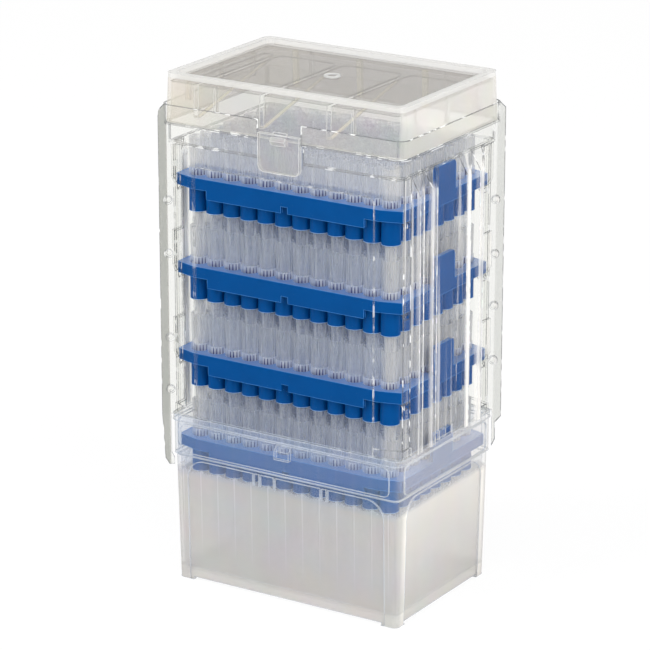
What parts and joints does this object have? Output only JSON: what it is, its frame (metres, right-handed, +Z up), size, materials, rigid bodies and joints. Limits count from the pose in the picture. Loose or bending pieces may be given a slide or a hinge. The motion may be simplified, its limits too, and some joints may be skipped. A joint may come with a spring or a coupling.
{
  "type": "box of pipette tips",
  "caption": "Tall laboratory pack of long pipette tips: a hazy rack base, nested blue decks of tips held above it in a clear fluted sheath, and a latched lid on top.",
  "frame": {"origin": "middle of the footprint, on the surface that the base's feet stand on", "axes": "+Z up, +X along the length, -Y towards the side with the latch"},
  "size_m": [0.1266, 0.0882, 0.2365],
  "materials": {
    "hazy_plastic": "translucent moulded polypropylene",
    "lid_plastic": "clear, slightly hazy moulding",
    "clear_film": "clear thermoformed sheet",
    "deck_blue": "satin mid-blue moulding",
    "tip_plastic": "translucent polypropylene"
  },
  "bodies": {
    "pack": {"base_box": "hazy_plastic", "sheath_front": "clear_film", "sheath_back": "clear_film", "deck_1": "deck_blue", "deck_2": "deck_blue", "deck_3": "deck_blue", "deck_4": "deck_blue", "tips_1_row_a": "tip_plastic", "tips_1_row_b": "tip_plastic", "tips_1_row_c": "tip_plastic", "tips_1_row_d": "tip_plastic", "tips_1_row_e": "tip_plastic", "tips_1_row_f": "tip_plastic", "tips_1_row_g": "tip_plastic", "tips_1_row_h": "tip_plastic", "tips_2_row_a": "tip_plastic", "tips_2_row_b": "tip_plastic", "tips_2_row_c": "tip_plastic", "tips_2_row_d": "tip_plastic", "tips_2_row_e": "tip_plastic", "tips_2_row_f": "tip_plastic", "tips_2_row_g": "tip_plastic", "tips_2_row_h": "tip_plastic", "tips_3_row_a": "tip_plastic", "tips_3_row_b": "tip_plastic", "tips_3_row_c": "tip_plastic", "tips_3_row_d": "tip_plastic", "tips_3_row_e": "tip_plastic", "tips_3_row_f": "tip_plastic", "tips_3_row_g": "tip_plastic", "tips_3_row_h": "tip_plastic", "tips_4_row_a": "tip_plastic", "tips_4_row_b": "tip_plastic", "tips_4_row_c": "tip_plastic", "tips_4_row_d": "tip_plastic", "tips_4_row_e": "tip_plastic", "tips_4_row_f": "tip_plastic", "tips_4_row_g": "tip_plastic", "tips_4_row_h": "tip_plastic"},
    "lid": {"lid": "lid_plastic"}
  },
  "joints": [
    {"name": "lid_lift", "type": "slide", "parent": "pack", "child": "lid", "axis": [0, 0, 1], "range_m": [0, 0.045]}
  ]
}
